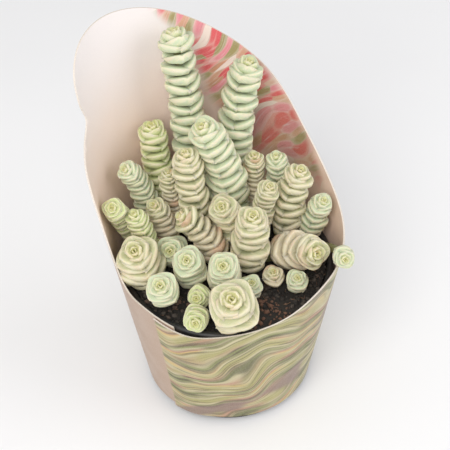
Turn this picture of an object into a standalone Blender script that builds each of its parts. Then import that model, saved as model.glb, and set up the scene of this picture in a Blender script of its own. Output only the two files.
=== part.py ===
"""A potted necklace crassula: a black nursery pot with soil, 31 stems of stacked leaf pairs,
and a rolled card sleeve that rises to a tall rounded tag at the back.

Metres, +Z up. The pot's axis is the Z axis, the floor is z = 0, the front is -Y and the tag is at +Y.
"""
import math

import bmesh
import bpy
from mathutils import Matrix, Vector

MM = 0.001

# Pot sizes
POT_HEIGHT = 57.0 * MM
POT_WALL = 1.2 * MM
POT_FLOOR = 1.6 * MM
POT_FOOT_RADIUS = 29.4 * MM
POT_SHOULDER_RADIUS = 37.4 * MM
POT_LIP_RADIUS = 39.6 * MM
POT_LIP_DEPTH = 6.0 * MM
POT_SIDES = 36
DRAIN_HOLES = 6
DRAIN_RADIUS = 3.2 * MM
DRAIN_CIRCLE = 19.0 * MM

# Soil sizes
SOIL_LEVEL = 55.4 * MM
SOIL_CLEARANCE = 0.3 * MM
SOIL_BUMP = 0.9 * MM
SOIL_SIDES = 30
SOIL_RINGS = 6

# Sleeve sizes
CARD_THICKNESS = 0.6 * MM
CARD_GAP = 0.35 * MM
SLEEVE_BOTTOM = 4.0 * MM
SLEEVE_RADIUS_AT_FLOOR = 31.5 * MM
SLEEVE_FLARE = 0.17
SEAM_ANGLE = -164.0
OVERLAP_ANGLE = 11.0
CARD_STEP = 7.5

# Top edge of the card, from the seam round the front, the right and the back: angle and height in mm
CARD_EDGE = [
    (-164.0, 59.8),
    (-152.0, 57.4),
    (-140.0, 56.6),
    (-120.0, 59.0),
    (-95.0, 62.5),
    (-72.0, 67.5),
    (-45.0, 68.5),
    (-12.0, 75.0),
    (12.0, 88.0),
    (36.0, 110.0),
    (62.0, 126.5),
    (84.0, 137.0),
    (104.0, 141.5),
    (120.0, 139.5),
    (130.0, 132.0),
    (132.5, 122.0),
    (131.0, 113.0),
    (141.0, 108.0),
    (153.0, 101.0),
    (161.0, 85.0),
    (166.0, 68.0),
    (175.0, 61.8),
    (190.0, 61.0),
    (207.0, 58.6),
]

# Stem sizes
STALK_RADIUS = 1.6 * MM
STALK_DEPTH = 6.0 * MM
STALK_STEP = 4.0 * MM
HOLE_RADIUS = 2.0 * MM
HOLE_DEPTH = 7.2 * MM
PITCH_PER_RADIUS = 0.84
CROWN = [(1.0, 0.62), (0.80, 0.38), (0.54, 0.30), (0.28, 0.26)]

# Stems: foot on the soil, bend and head in mm, leaf reach in mm, turn of the first pair, leaf colour
STEMS = {
    "stem_back_tall": ((9, 32), (7, 33, 104), (8, 43, 133), 7.0, 20, "mint"),
    "stem_back_right_tall": ((21, 25), (21.5, 27, 98), (28, 24, 122), 6.9, 50, "mint"),
    "stem_middle_tall": ((13.5, 17), (14.5, 13.5, 80), (2, 18, 108), 7.2, 35, "mint"),
    "stem_back_left": ((-3, 33), (-6, 38, 85), (-6, 39, 99), 6.2, 70, "lime"),
    "stem_middle": ((-1, 15), (-4, 16, 78), (-5.5, 17.5, 99.5), 6.0, 10, "cream"),
    "stem_left_leaning": ((-13, 30), (-15, 32, 84), (-24, 30.5, 92), 4.6, 40, "mint"),
    "stem_thin_back": ((-4, 25), (-7, 26, 71), (-8, 26, 86), 3.9, 0, "blush"),
    "stem_left_back": ((-21, 26), (-28, 29, 74), (-36.5, 19, 88), 4.4, 60, "lime"),
    "stem_left": ((-23, 18), (-24, 16.5, 68), (-29, 17, 83), 4.4, 30, "lime"),
    "stem_left_pink": ((-12, 20), (-13, 22, 70), (-18, 21.5, 78), 4.8, 80, "blush"),
    "stem_leaning_pink": ((-3, 1), (-5, 3, 73), (-15, 9, 80), 5.3, 45, "blush"),
    "stem_centre": ((7, 6), (6, 7, 73), (-1, 2, 82), 6.2, 15, "cream"),
    "stem_centre_wide": ((4, -7), (5, -8, 71), (3, -12, 86), 7.0, 65, "cream"),
    "stem_right_back_small": ((24, 15), (23, 14, 72), (22, 13, 88), 4.2, 25, "blush"),
    "stem_right_back": ((31, 9), (32, 9, 72), (29, 9, 87), 4.7, 55, "mint"),
    "stem_right_bud": ((18, 5), (18, 3, 72), (19, -1, 84), 4.6, 5, "cream"),
    "stem_right_column": ((26.5, -1), (27.5, 0, 75), (31, -4, 88), 6.0, 75, "cream"),
    "stem_right_rosette": ((32, -8), (35, -8, 69), (35, -13, 77), 4.8, 35, "mint"),
    "stem_right_lying": ((13, -8), (20, -14, 64), (18, -31, 73), 7.2, 50, "blush"),
    "stem_right_outer": ((30, -12), (31, -25, 67), (22.8, -40.5, 74.6), 4.6, 20, "mint"),
    "stem_left_rosette": ((-31, 8), (-32, 9.5, 68), (-36.6, 5.5, 77.5), 8.4, 40, "cream"),
    "stem_left_mint": ((-15, 11), (-17, 11, 65), (-22, 5, 69), 6.0, 10, "mint"),
    "stem_front_mint": ((-17, -1), (-18, -2, 68), (-23, -7.5, 75), 6.2, 70, "mint"),
    "stem_front_centre": ((-9, -11), (-10, -13, 70), (-15, -18.5, 76), 6.2, 30, "mint"),
    "stem_left_front": ((-28, -3), (-32.5, -6.5, 64), (-36.5, -10.5, 73), 6.2, 60, "mint"),
    "stem_front_rosette": ((-15, -26), (-19, -29.5, 67), (-23, -35, 78), 8.9, 65, "cream"),
    "stem_front_small": ((-25, -18), (-28, -20, 62), (-33, -27, 65), 4.6, 45, "lime"),
    "stem_front_bud": ((-20, -12), (-21, -13, 62), (-26, -17.5, 65.5), 4.2, 15, "lime"),
    "stem_right_low": ((7, -19), (6.5, -20, 60), (6, -20.5, 63), 4.3, 10, "blush"),
    "stem_front_right": ((-4, -20), (-4, -20, 61), (-5, -22, 65), 4.6, 55, "mint"),
    "stem_right_front": ((12, -27), (12, -27, 60), (10.5, -29, 64), 4.4, 35, "mint"),
}

# Colours and roughness
FINISHES = {
    "pot_plastic": ((0.012, 0.012, 0.013, 1.0), 0.45),
    "soil_mix": ((0.030, 0.022, 0.017, 1.0), 0.95),
    "sleeve_card": ((0.72, 0.56, 0.46, 1.0), 0.55),
    "leaf_mint": ((0.56, 0.66, 0.46, 1.0), 0.48),
    "leaf_cream": ((0.68, 0.69, 0.46, 1.0), 0.48),
    "leaf_lime": ((0.50, 0.62, 0.28, 1.0), 0.48),
    "leaf_blush": ((0.72, 0.58, 0.46, 1.0), 0.48),
}

# Share of a stem's length that carries no leaves
BARE_SHARES = {"stem_right_outer": 0.80, "stem_left_front": 0.38}


def clear_scene():
    for obj in list(bpy.data.objects):
        bpy.data.objects.remove(obj, do_unlink=True)


def finish_material(name):
    colour, roughness = FINISHES[name]
    material = bpy.data.materials.new(name)
    material.use_nodes = True
    shader = material.node_tree.nodes["Principled BSDF"]
    shader.inputs["Base Color"].default_value = colour
    shader.inputs["Roughness"].default_value = roughness
    material.diffuse_color = colour
    return material


def add_object(name, mesh_builder, material):
    mesh = bpy.data.meshes.new(name)
    bmesh.ops.recalc_face_normals(mesh_builder, faces=mesh_builder.faces)
    mesh_builder.to_mesh(mesh)
    mesh_builder.free()
    obj = bpy.data.objects.new(name, mesh)
    bpy.context.scene.collection.objects.link(obj)
    if material is not None:
        mesh.materials.append(material)
    return obj


def ring_points(radius, height, sides):
    turn = 2.0 * math.pi / sides
    return [Vector((radius * math.cos(turn * i), radius * math.sin(turn * i), height)) for i in range(sides)]


def bridge(builder, lower, upper):
    sides = len(lower)
    for i in range(sides):
        j = (i + 1) % sides
        builder.faces.new((lower[i], lower[j], upper[j], upper[i]))


def fan(builder, ring, centre):
    sides = len(ring)
    for i in range(sides):
        builder.faces.new((ring[i], ring[(i + 1) % sides], centre))


def subtract(target, cutter):
    cutter.hide_render = True
    cutter.display_type = "WIRE"
    cut = target.modifiers.new("cut", "BOOLEAN")
    cut.operation = "DIFFERENCE"
    cut.solver = "EXACT"
    cut.object = cutter


def peg(builder, centre, radius, low, high, sides):
    rings = []
    for height in (low, high):
        points = ring_points(radius, height, sides)
        rings.append([builder.verts.new(p + Vector((centre[0], centre[1], 0.0))) for p in points])
    bridge(builder, rings[0], rings[1])
    for ring in rings:
        builder.faces.new(ring)


# Pot

def build_pot(material):
    wall_top = POT_HEIGHT - POT_LIP_DEPTH
    lip_inner = POT_LIP_RADIUS - POT_WALL - 1.0 * MM
    outline = [
        (POT_FOOT_RADIUS, 0.0),
        (POT_SHOULDER_RADIUS, wall_top),
        (POT_LIP_RADIUS - 0.6 * MM, wall_top + 0.4 * MM),
        (POT_LIP_RADIUS, wall_top + 1.4 * MM),
        (POT_LIP_RADIUS, POT_HEIGHT - 0.8 * MM),
        (POT_LIP_RADIUS - 0.8 * MM, POT_HEIGHT),
        (lip_inner, POT_HEIGHT),
        (POT_SHOULDER_RADIUS - POT_WALL, wall_top - 0.5 * MM),
        (POT_FOOT_RADIUS - POT_WALL, POT_FLOOR),
    ]
    builder = bmesh.new()
    rings = [[builder.verts.new(p) for p in ring_points(r, z, POT_SIDES)] for r, z in outline]
    for lower, upper in zip(rings, rings[1:]):
        bridge(builder, lower, upper)
    fan(builder, rings[0], builder.verts.new((0.0, 0.0, 0.0)))
    fan(builder, rings[-1], builder.verts.new((0.0, 0.0, POT_FLOOR)))
    pot = add_object("pot", builder, material)

    holes = bmesh.new()
    for i in range(DRAIN_HOLES):
        angle = 2.0 * math.pi * i / DRAIN_HOLES
        centre = (DRAIN_CIRCLE * math.cos(angle), DRAIN_CIRCLE * math.sin(angle))
        peg(holes, centre, DRAIN_RADIUS, -1.0 * MM, POT_FLOOR + 1.0 * MM, 10)
    subtract(pot, add_object("drain_hole_cutter", holes, None))
    return pot


# Soil

def soil_height(x, y):
    wave = math.sin(x / (5.2 * MM) + 0.6) * math.cos(y / (6.1 * MM))
    fine = 0.5 * math.sin(x / (2.9 * MM) - y / (3.7 * MM))
    fade = 1.0 - min(1.0, math.hypot(x, y) / (40.0 * MM)) ** 6
    return SOIL_LEVEL + SOIL_BUMP * fade * (0.6 * wave + 0.4 * fine)


def build_soil(material):
    slope = (POT_SHOULDER_RADIUS - POT_FOOT_RADIUS) / (POT_HEIGHT - POT_LIP_DEPTH)
    low = POT_FLOOR + SOIL_CLEARANCE
    foot = POT_FOOT_RADIUS - POT_WALL - 2.0 * SOIL_CLEARANCE
    shoulder_height = POT_HEIGHT - POT_LIP_DEPTH - 1.0 * MM
    shoulder = foot + slope * (shoulder_height - low)
    top = POT_LIP_RADIUS - POT_WALL - 1.8 * MM
    builder = bmesh.new()
    centre = builder.verts.new((0.0, 0.0, soil_height(0.0, 0.0)))
    rings = []
    for k in range(1, SOIL_RINGS + 1):
        radius = top * k / SOIL_RINGS
        points = ring_points(radius, 0.0, SOIL_SIDES)
        rings.append([builder.verts.new((p.x, p.y, soil_height(p.x, p.y))) for p in points])
    for radius, height in ((shoulder, shoulder_height), (foot, low)):
        rings.append([builder.verts.new(p) for p in ring_points(radius, height, SOIL_SIDES)])
    fan(builder, rings[0], centre)
    for inner, outer in zip(rings, rings[1:]):
        bridge(builder, inner, outer)
    fan(builder, rings[-1], builder.verts.new((0.0, 0.0, low)))
    soil = add_object("soil", builder, material)

    holes = bmesh.new()
    for foot_mm, *_ in STEMS.values():
        x, y = foot_mm[0] * MM, foot_mm[1] * MM
        peg(holes, (x, y), HOLE_RADIUS, SOIL_LEVEL - HOLE_DEPTH, SOIL_LEVEL + 4.0 * MM, 8)
    subtract(soil, add_object("stem_hole_cutter", holes, None))
    return soil


# Sleeve: a flat cut card, rolled into a cone

def smooth_edge(marks, steps):
    points = []
    for i in range(len(marks) - 1):
        before = Vector(marks[max(i - 1, 0)])
        start = Vector(marks[i])
        end = Vector(marks[i + 1])
        after = Vector(marks[min(i + 2, len(marks) - 1)])
        for k in range(steps):
            t = k / steps
            a = 2.0 * start
            b = (end - before) * t
            c = (2.0 * before - 5.0 * start + 4.0 * end - after) * t * t
            d = (3.0 * start - before - 3.0 * end + after) * t * t * t
            points.append(0.5 * (a + b + c + d))
    points.append(Vector(marks[-1]))
    return points


def overlap_lift(angle):
    layer = CARD_THICKNESS + CARD_GAP
    covered = SEAM_ANGLE + OVERLAP_ANGLE + 1.0
    settled = covered + 24.0
    ease = min(1.0, max(0.0, (settled - angle) / (settled - covered)))
    return layer * ease * ease * (3.0 - 2.0 * ease)


def roll(angle, height, inset):
    radius = SLEEVE_RADIUS_AT_FLOOR + SLEEVE_FLARE * height + overlap_lift(angle) - inset
    turn = math.radians(angle)
    return Vector((radius * math.cos(turn), radius * math.sin(turn), height))


def build_sleeve(material):
    last_angle = SEAM_ANGLE + 360.0 + OVERLAP_ANGLE
    top = [(p.x, p.y * MM) for p in smooth_edge(CARD_EDGE, 3)]
    outline = [(SEAM_ANGLE, SLEEVE_BOTTOM), (last_angle, SLEEVE_BOTTOM)] + list(reversed(top))
    builder = bmesh.new()
    builder.faces.new([builder.verts.new((angle * MM, height, 0.0)) for angle, height in outline])
    angle = SEAM_ANGLE + CARD_STEP
    while angle < last_angle - 1.0:
        geometry = builder.verts[:] + builder.edges[:] + builder.faces[:]
        cut_place = (angle * MM, 0.0, 0.0)
        bmesh.ops.bisect_plane(builder, geom=geometry, plane_co=cut_place, plane_no=(1.0, 0.0, 0.0))
        angle += CARD_STEP
    bmesh.ops.triangulate(builder, faces=builder.faces[:])

    outer = builder.verts[:]
    edges = [e for e in builder.edges if e.is_boundary]
    faces = builder.faces[:]
    inner = {v: builder.verts.new(v.co) for v in outer}
    for face in faces:
        builder.faces.new([inner[v] for v in reversed(face.verts)])
    for edge in edges:
        a, b = edge.verts
        builder.faces.new((a, b, inner[b], inner[a]))
    flat = {v: (v.co.x / MM, v.co.y) for v in outer}
    for v in outer:
        inner[v].co = roll(flat[v][0], flat[v][1], CARD_THICKNESS)
        v.co = roll(flat[v][0], flat[v][1], 0.0)
    return add_object("sleeve", builder, material)


# Stems

def axis_samples(foot, bend, head, count):
    points = []
    for i in range(count + 1):
        t = i / count
        points.append(foot * (1.0 - t) ** 2 + bend * 2.0 * t * (1.0 - t) + head * t * t)
    return points


class StemAxis:
    """A bent centre line with a frame at any distance along it."""

    def __init__(self, foot, bend, head):
        self.points = axis_samples(foot, bend, head, 48)
        self.distances = [0.0]
        for a, b in zip(self.points, self.points[1:]):
            self.distances.append(self.distances[-1] + (b - a).length)
        self.length = self.distances[-1]
        self.frames = []
        side = Vector((1.0, 0.0, 0.0))
        for i in range(len(self.points)):
            a = self.points[max(i - 1, 0)]
            b = self.points[min(i + 1, len(self.points) - 1)]
            along = (b - a).normalized()
            side = (side - along * side.dot(along)).normalized()
            self.frames.append((along, side))

    def place(self, distance):
        i = 0
        while i < len(self.distances) - 2 and self.distances[i + 1] < distance:
            i += 1
        span = self.distances[i + 1] - self.distances[i]
        t = (distance - self.distances[i]) / span
        along, side = self.frames[min(i + (1 if t > 0.5 else 0), len(self.frames) - 1)]
        origin = self.points[i] + (self.points[i + 1] - self.points[i]) * t
        return origin, side, along.cross(side), along


def leaf_ring(axis, distance, reach, stretch, lift, pair_turn, sides):
    origin, side, across, along = axis.place(distance)
    points = []
    for i in range(sides):
        angle = 2.0 * math.pi * i / sides
        lobe = math.cos(2.0 * (angle - pair_turn))
        radius = reach * (1.0 - stretch + stretch * lobe)
        direction = side * math.cos(angle) + across * math.sin(angle)
        points.append(origin + direction * radius + along * (lift * lobe))
    return points


def leaf_pairs(length, reach, start):
    pitch = reach * PITCH_PER_RADIUS
    crown = sum(step * pitch for _, step in CROWN)
    count = max(1, round((length - start - crown) / pitch))
    pitch_fit = (length - start - crown) / count
    pairs = []
    distance = start
    for k in range(count):
        young = 0.80 if k == 0 else 1.0
        pairs.append((distance, reach * young, pitch_fit))
        distance += pitch_fit
    for size, step in CROWN:
        pairs.append((distance, reach * size, pitch * step))
        distance += pitch * step
    return pairs


def build_stem(name, spec, material):
    foot_mm, bend_mm, head_mm, reach_mm, turn, _ = spec
    reach = reach_mm * MM
    foot = Vector((foot_mm[0] * MM, foot_mm[1] * MM, 0.0))
    foot.z = soil_height(foot.x, foot.y)
    axis = StemAxis(foot, Vector(bend_mm) * MM, Vector(head_mm) * MM)
    sides = 12 if reach_mm >= 7.4 else 10 if reach_mm >= 6.4 else 8
    tilt = math.hypot(axis.frames[4][0].x, axis.frames[4][0].y)
    start = max(1.8 * MM + 0.8 * reach * tilt, axis.length * BARE_SHARES.get(name, 0.0))
    builder = bmesh.new()
    rings = []
    for height in (-STALK_DEPTH, 0.2 * MM):
        level = [p + foot for p in ring_points(STALK_RADIUS, height, sides)]
        rings.append([builder.verts.new(p) for p in level])
    for step in range(1, int(start / STALK_STEP)):
        stalk = leaf_ring(axis, step * STALK_STEP, STALK_RADIUS, 0.0, 0.0, 0.0, sides)
        rings.append([builder.verts.new(p) for p in stalk])
    pairs = leaf_pairs(axis.length, reach, start)
    for k, (distance, size, pitch) in enumerate(pairs):
        pair_turn = math.radians(turn + 90.0 * k)
        waist = leaf_ring(axis, distance, 0.74 * size, 0.0, 0.0, pair_turn, sides)
        belly = leaf_ring(axis, distance + 0.28 * pitch, 0.98 * size, 0.09, 0.04 * pitch, pair_turn, sides)
        rim = leaf_ring(axis, distance + 0.84 * pitch, size, 0.13, 0.22 * pitch, pair_turn, sides)
        for points in (waist, belly, rim):
            rings.append([builder.verts.new(p) for p in points])
    for lower, upper in zip(rings, rings[1:]):
        bridge(builder, lower, upper)
    builder.faces.new(rings[0])
    tip, _, _, along = axis.place(axis.length)
    fan(builder, rings[-1], builder.verts.new(tip + along * (0.1 * reach)))
    return add_object(name, builder, material)


def main():
    clear_scene()
    materials = {name: finish_material(name) for name in FINISHES}
    build_pot(materials["pot_plastic"])
    build_soil(materials["soil_mix"])
    build_sleeve(materials["sleeve_card"])
    for name, spec in STEMS.items():
        build_stem(name, spec, materials["leaf_" + spec[5]])


main()
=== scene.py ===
"""Potted variegated necklace crassula: pot, soil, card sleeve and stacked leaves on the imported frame."""

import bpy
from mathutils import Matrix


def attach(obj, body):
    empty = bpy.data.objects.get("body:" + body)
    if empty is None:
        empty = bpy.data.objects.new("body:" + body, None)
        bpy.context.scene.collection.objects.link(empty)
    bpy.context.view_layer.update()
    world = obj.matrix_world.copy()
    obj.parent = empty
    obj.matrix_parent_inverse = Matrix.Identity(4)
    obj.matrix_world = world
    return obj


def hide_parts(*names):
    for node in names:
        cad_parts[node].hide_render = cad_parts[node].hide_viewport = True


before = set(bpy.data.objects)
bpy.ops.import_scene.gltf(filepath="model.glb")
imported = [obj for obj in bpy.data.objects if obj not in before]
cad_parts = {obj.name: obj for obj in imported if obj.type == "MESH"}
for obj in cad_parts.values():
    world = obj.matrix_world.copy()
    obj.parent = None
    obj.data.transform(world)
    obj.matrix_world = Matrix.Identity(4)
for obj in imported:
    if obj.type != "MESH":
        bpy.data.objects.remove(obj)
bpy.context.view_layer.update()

import math

import bmesh
import bpy
from bpy.props import FloatProperty, FloatVectorProperty, IntProperty, PointerProperty
from mathutils import Matrix, Vector, noise

bl_info = {
    "name": "Potted necklace crassula",
    "version": (1, 0, 0),
    "blender": (4, 5, 0),
    "location": "View3D > Sidebar > Potted plant",
    "description": "Grows a variegated necklace crassula in its pot, soil and printed card sleeve",
    "category": "Add Mesh",
}

MM = 0.001

# Pot sizes, as in the frame
POT_HEIGHT = 57.0 * MM
POT_WALL = 1.2 * MM
POT_FLOOR = 1.6 * MM
POT_FOOT_RADIUS = 29.4 * MM
POT_SHOULDER_RADIUS = 37.4 * MM
POT_LIP_RADIUS = 39.6 * MM
POT_LIP_DEPTH = 6.0 * MM
DRAIN_HOLES = 6
DRAIN_RADIUS = 3.2 * MM
DRAIN_CIRCLE = 19.0 * MM

# Finish of the pot: rounding of its corners, least angle of a sharp edge, depth of the dusty top
POT_ROUNDING = 0.45 * MM
SHARP_ANGLE = math.radians(40.0)
DUSTY_RIM = 17.0 * MM

# Soil sizes, as in the frame
SOIL_LEVEL = 55.4 * MM
SOIL_CLEARANCE = 0.3 * MM
SOIL_BUMP = 0.9 * MM

# Middle of the patch of reddish bark on the soil, and where it ends and is full
BARK_PATCH = Vector((-8.0, -32.0, 56.0)) * MM
BARK_PATCH_RADII = (13.0 * MM, 9.0 * MM)

# Turns of crumbs and fibres, in radians
FULL_TURN = 6.28
FIBRE_TILT = 0.5

# Sleeve sizes, as in the frame
CARD_THICKNESS = 0.6 * MM
CARD_GAP = 0.35 * MM
SLEEVE_BOTTOM = 4.0 * MM
SLEEVE_RADIUS_AT_FLOOR = 31.5 * MM
SLEEVE_FLARE = 0.17
SEAM_ANGLE = -164.0
OVERLAP_ANGLE = 11.0
OVERLAP_EASE = 24.0

# Finish of the sleeve: steps of its bend and height, room between it and the leaves
CARD_STEP_ANGLE = 2.5
CARD_STEP_HEIGHT = 6.0 * MM
LEAF_CLEARANCE = 0.2 * MM

# The card's UV map: length of the card in a degree, and units in a metre
ARC_PER_DEGREE = 0.66 * MM
CARD_UV = 10.0

# Width of a dab of colour as a share of its length
DAB_WIDTH = 0.36

# Inks and shades of the card, beside those in the settings
MOSS = (0.35, 0.32, 0.12)
PALE_MOSS = (0.38, 0.34, 0.13)
BOTTLE = (0.09, 0.08, 0.025)
DARK_OLIVE = (0.12, 0.11, 0.05)
OCHRE = (0.56, 0.40, 0.13)
STRAW = (0.62, 0.54, 0.36)
UMBER = (0.13, 0.075, 0.035)
DARK_UMBER = (0.17, 0.13, 0.06)
ROSE = (0.76, 0.26, 0.30)
RUST = (0.58, 0.29, 0.17)
DRAB = (0.36, 0.30, 0.12)
WINE = (0.36, 0.10, 0.10)
SHELL_PINK = (0.84, 0.70, 0.62)
SAND = (0.82, 0.72, 0.62)
WORN_CARD = (1.0, 0.97, 0.93)
DARK_CARD = (0.62, 0.55, 0.48)

# Top edge of the card, from the seam round the front, the right and the back: angle and height in mm
CARD_EDGE = [
    (-164.0, 59.8), (-152.0, 57.4), (-140.0, 56.6), (-120.0, 59.0), (-95.0, 62.5), (-72.0, 67.5),
    (-45.0, 68.5), (-12.0, 75.0), (12.0, 88.0), (36.0, 110.0), (62.0, 126.5), (84.0, 137.0), (104.0, 141.5),
    (120.0, 139.5), (130.0, 132.0), (132.5, 122.0), (131.0, 113.0), (141.0, 108.0), (153.0, 101.0),
    (161.0, 85.0), (166.0, 68.0), (175.0, 61.8), (190.0, 61.0), (207.0, 58.6),
]

# Stems: foot on the soil, bend and head in mm, leaf reach in mm, turn of the first pair, leaf colour
STEMS = {
    "stem_back_tall": ((9, 32), (7, 33, 104), (8, 43, 133), 7.0, 20, "mint"),
    "stem_back_right_tall": ((21, 25), (21.5, 27, 98), (28, 24, 122), 6.9, 50, "mint"),
    "stem_middle_tall": ((13.5, 17), (14.5, 13.5, 80), (2, 18, 108), 7.2, 35, "mint"),
    "stem_back_left": ((-3, 33), (-6, 38, 85), (-6, 39, 99), 6.2, 70, "lime"),
    "stem_middle": ((-1, 15), (-4, 16, 78), (-5.5, 17.5, 99.5), 6.0, 10, "cream"),
    "stem_left_leaning": ((-13, 30), (-15, 32, 84), (-24, 30.5, 92), 4.6, 40, "mint"),
    "stem_thin_back": ((-4, 25), (-7, 26, 71), (-8, 26, 86), 3.9, 0, "blush"),
    "stem_left_back": ((-21, 26), (-28, 29, 74), (-36.5, 19, 88), 4.4, 60, "lime"),
    "stem_left": ((-23, 18), (-24, 16.5, 68), (-29, 17, 83), 4.4, 30, "lime"),
    "stem_left_pink": ((-12, 20), (-13, 22, 70), (-18, 21.5, 78), 4.8, 80, "blush"),
    "stem_leaning_pink": ((-3, 1), (-5, 3, 73), (-15, 9, 80), 5.3, 45, "blush"),
    "stem_centre": ((7, 6), (6, 7, 73), (-1, 2, 82), 6.2, 15, "cream"),
    "stem_centre_wide": ((4, -7), (5, -8, 71), (3, -12, 86), 7.0, 65, "cream"),
    "stem_right_back_small": ((24, 15), (23, 14, 72), (22, 13, 88), 4.2, 25, "blush"),
    "stem_right_back": ((31, 9), (32, 9, 72), (29, 9, 87), 4.7, 55, "mint"),
    "stem_right_bud": ((18, 5), (18, 3, 72), (19, -1, 84), 4.6, 5, "cream"),
    "stem_right_column": ((26.5, -1), (27.5, 0, 75), (31, -4, 88), 6.0, 75, "cream"),
    "stem_right_rosette": ((32, -8), (35, -8, 69), (35, -13, 77), 4.8, 35, "mint"),
    "stem_right_lying": ((13, -8), (20, -14, 64), (18, -31, 73), 7.2, 50, "blush"),
    "stem_right_outer": ((30, -12), (31, -25, 67), (22.8, -40.5, 74.6), 4.6, 20, "mint"),
    "stem_left_rosette": ((-31, 8), (-32, 9.5, 68), (-36.6, 5.5, 77.5), 8.4, 40, "cream"),
    "stem_left_mint": ((-15, 11), (-17, 11, 65), (-22, 5, 69), 6.0, 10, "mint"),
    "stem_front_mint": ((-17, -1), (-18, -2, 68), (-23, -7.5, 75), 6.2, 70, "mint"),
    "stem_front_centre": ((-9, -11), (-10, -13, 70), (-15, -18.5, 76), 6.2, 30, "mint"),
    "stem_left_front": ((-28, -3), (-32.5, -6.5, 64), (-36.5, -10.5, 73), 6.2, 60, "mint"),
    "stem_front_rosette": ((-15, -26), (-19, -29.5, 67), (-23, -35, 78), 8.9, 65, "cream"),
    "stem_front_small": ((-25, -18), (-28, -20, 62), (-33, -27, 65), 4.6, 45, "lime"),
    "stem_front_bud": ((-20, -12), (-21, -13, 62), (-26, -17.5, 65.5), 4.2, 15, "lime"),
    "stem_right_low": ((7, -19), (6.5, -20, 60), (6, -20.5, 63), 4.3, 10, "blush"),
    "stem_front_right": ((-4, -20), (-4, -20, 61), (-5, -22, 65), 4.6, 55, "mint"),
    "stem_right_front": ((12, -27), (12, -27, 60), (10.5, -29, 64), 4.4, 35, "mint"),
}

# Share of a stem's length that carries no leaves
BARE_SHARES = {"stem_right_outer": 0.80, "stem_left_front": 0.38}

# The crown: each step's share of the one before, its first step and tip, and how much its leaves shrink
CROWN_SHRINK = 0.78
CROWN_STEP = 0.36
CROWN_TIP = 0.16
CROWN_TAPER = 0.84

# Leaves by the name of their colour: colour in the crown, pinkness, and where the pale margin starts
LEAF_LOOKS = {
    "mint": ("mint", 0.25, 0.72),
    "cream": ("cream", 0.50, 0.50),
    "lime": ("lime", 0.25, 0.72),
    "blush": ("cream", 0.75, 0.60),
}

# The camera's place and view in the row frame
CAMERA_PLACE = Vector((-209.14, -299.03, 406.02)) * MM
CAMERA_PITCH = math.radians(36.40)
CAMERA_ROLL = math.radians(0.43)
CAMERA_YAW = math.radians(37.24)
CAMERA_AIM = Vector((2.0, 4.0, 70.0)) * MM


# Settings

def length_setting(name, description, default):
    return FloatProperty(name=name, description=description, default=default, min=0.0, unit="LENGTH",
                         precision=5)


def share_setting(name, description, default):
    return FloatProperty(name=name, description=description, default=default, min=0.0, max=2.0)


def angle_setting(name, description, degrees):
    return FloatProperty(name=name, description=description, default=math.radians(degrees), subtype="ANGLE",
                         unit="ROTATION")


def colour_setting(name, description, default):
    return FloatVectorProperty(name=name, description=description, default=default, size=3, min=0.0, max=1.0,
                               subtype="COLOR")


class PotSettings(bpy.types.PropertyGroup):
    """Colours and smoothness of the nursery pot."""

    plastic: colour_setting("Plastic", "Colour of the moulded pot", (0.016, 0.016, 0.018))
    dust: colour_setting("Dust", "Colour of the dried soil dust on the pot", (0.060, 0.048, 0.038))
    sides: IntProperty(name="Sides", description="Faces round the pot", default=96, min=24, max=256)


class SoilSettings(bpy.types.PropertyGroup):
    """Crumbs, fibres and colours of the potting soil."""

    peat: colour_setting("Peat", "Colour of the dark peat", (0.026, 0.022, 0.019))
    dry_peat: colour_setting("Dry peat", "Colour of the dry lumps", (0.085, 0.070, 0.058))
    bark: colour_setting("Bark", "Colour of the reddish bark crumbs", (0.190, 0.100, 0.066))
    straw: colour_setting("Straw", "Colour of the dry fibres", (0.230, 0.140, 0.080))
    crumbs: FloatProperty(name="Crumbs", description="Crumbs on a square metre", default=520000.0, min=0.0)
    fibres: FloatProperty(name="Fibres", description="Fibres on a square metre", default=62000.0, min=0.0)
    crumb_size: length_setting("Crumb size", "Width of a large crumb", 2.9 * MM)
    fibre_length: length_setting("Fibre length", "Length of a long fibre", 5.5 * MM)
    seed: IntProperty(name="Seed", description="Seed of the scatter", default=7, min=0)


class SleeveSettings(bpy.types.PropertyGroup):
    """Colours of the printed card sleeve."""

    white: colour_setting("White", "Colour of the card at the top of the tag", (0.80, 0.745, 0.735))
    # Peach is the card's lower colour darkened as painted shade for the shaded outside of the sleeve.
    peach_in_painted_shade: colour_setting("Peach", "Colour that the print fades to", (0.44, 0.315, 0.235))
    # Shell is the same lower card colour brightened as painted light, against the shade inside the tag.
    shell_in_painted_light: colour_setting("Shell", "Colour that the inside fades to", (0.86, 0.645, 0.530))
    edge: colour_setting("Cut edge", "Colour of the cut card", (0.76, 0.69, 0.62))
    olive: colour_setting("Olive", "Colour of the green ribbons", (0.34, 0.37, 0.12))
    butter: colour_setting("Butter", "Colour of the pale yellow ribbons", (0.72, 0.64, 0.38))
    salmon: colour_setting("Salmon", "Colour of the salmon ribbons", (0.66, 0.36, 0.24))
    coral: colour_setting("Coral", "Colour of the coral ribbons on the tag", (0.72, 0.10, 0.11))
    mauve: colour_setting("Mauve", "Colour of the broad mauve sweeps", (0.235, 0.150, 0.135))
    ribbon: length_setting("Ribbon", "Width of one group of ribbons", 10.5 * MM)
    dab: length_setting("Dab", "Length of one dab of colour on the tag", 7.5 * MM)


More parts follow.
